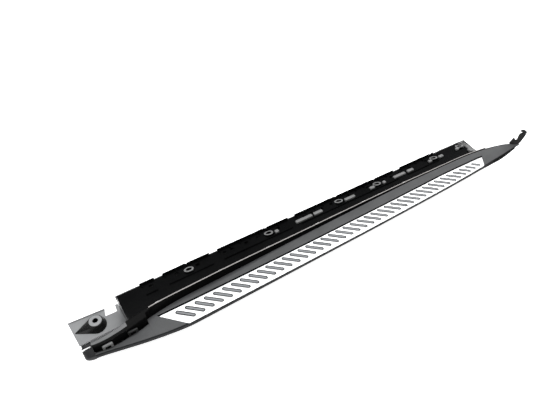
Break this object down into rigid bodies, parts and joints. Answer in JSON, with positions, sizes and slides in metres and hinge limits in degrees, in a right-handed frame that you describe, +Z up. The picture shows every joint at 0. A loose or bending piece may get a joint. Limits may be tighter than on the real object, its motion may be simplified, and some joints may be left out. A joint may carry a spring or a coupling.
{
  "type": "running board",
  "caption": "Long moulded side step with a slotted metal tread plate, a raised lip, an inner shelf and channel with mounting sleeves, and an end plate with a locating boss.",
  "frame": {"origin": "centre of the locating bush's bore at its top face, near the rear end", "axes": "+X along the board to its swept front tip, +Y towards the vehicle, +Z up"},
  "size_m": [2.0825, 0.2908, 0.1944],
  "materials": {
    "textured_plastic": "fine-grained moulded step plastic",
    "satin_black": "satin black moulding",
    "rear_grey": "satin grey moulding",
    "black_plastic": "matte black plastic",
    "grey_plastic": "grey moulding",
    "sleeve_plastic": "light grey sleeve",
    "white_plastic": "white clip plastic",
    "tread_aluminium": "fine brushed and clear anodised",
    "beam_aluminium": "mill-finish extrusion",
    "grip_rubber": "ribbed grey rubber",
    "edge_rubber": "dark soft edge strip",
    "lip_seal": "light grey seal bead",
    "bonding_tape": "foam bonding tape",
    "foam": "closed-cell foam",
    "zinc_steel": "zinc plated",
    "coated_steel": "black coated steel",
    "black_steel": "phosphated spring steel",
    "bush_metal": "satin steel bush"
  },
  "bodies": {
    "root": {"step_cover": "textured_plastic", "tread_plate": "tread_aluminium", "grip_mat": "grip_rubber", "bonding_tape": "bonding_tape", "outer_edge_trim": "edge_rubber", "lower_shell": "textured_plastic", "shell_screws": "zinc_steel", "carrier_beam": "beam_aluminium", "beam_end_plugs": "black_plastic", "foam_strips": "foam", "support_brackets": "coated_steel", "bracket_bolts": "zinc_steel", "bracket_washers": "zinc_steel", "bracket_nuts": "zinc_steel", "sill_lip": "satin_black", "lip_seal": "lip_seal", "lip_retainers": "white_plastic", "sill_shelf": "satin_black", "shelf_clips": "grey_plastic", "upper_sleeves": "sleeve_plastic", "shelf_end_wall": "satin_black", "channel_wall": "satin_black", "channel_floor": "satin_black", "mounting_rail": "grey_plastic", "lower_sleeves": "sleeve_plastic", "clip_nuts": "black_steel", "rear_wall": "rear_grey", "end_plate": "rear_grey", "locating_boss": "satin_black", "locating_bush": "bush_metal", "rear_end_cap": "textured_plastic", "rear_clip_housings": "grey_plastic", "tail_clip": "white_plastic", "front_bracket": "grey_plastic", "front_clip_arm": "black_plastic"}
  },
  "joints": []
}
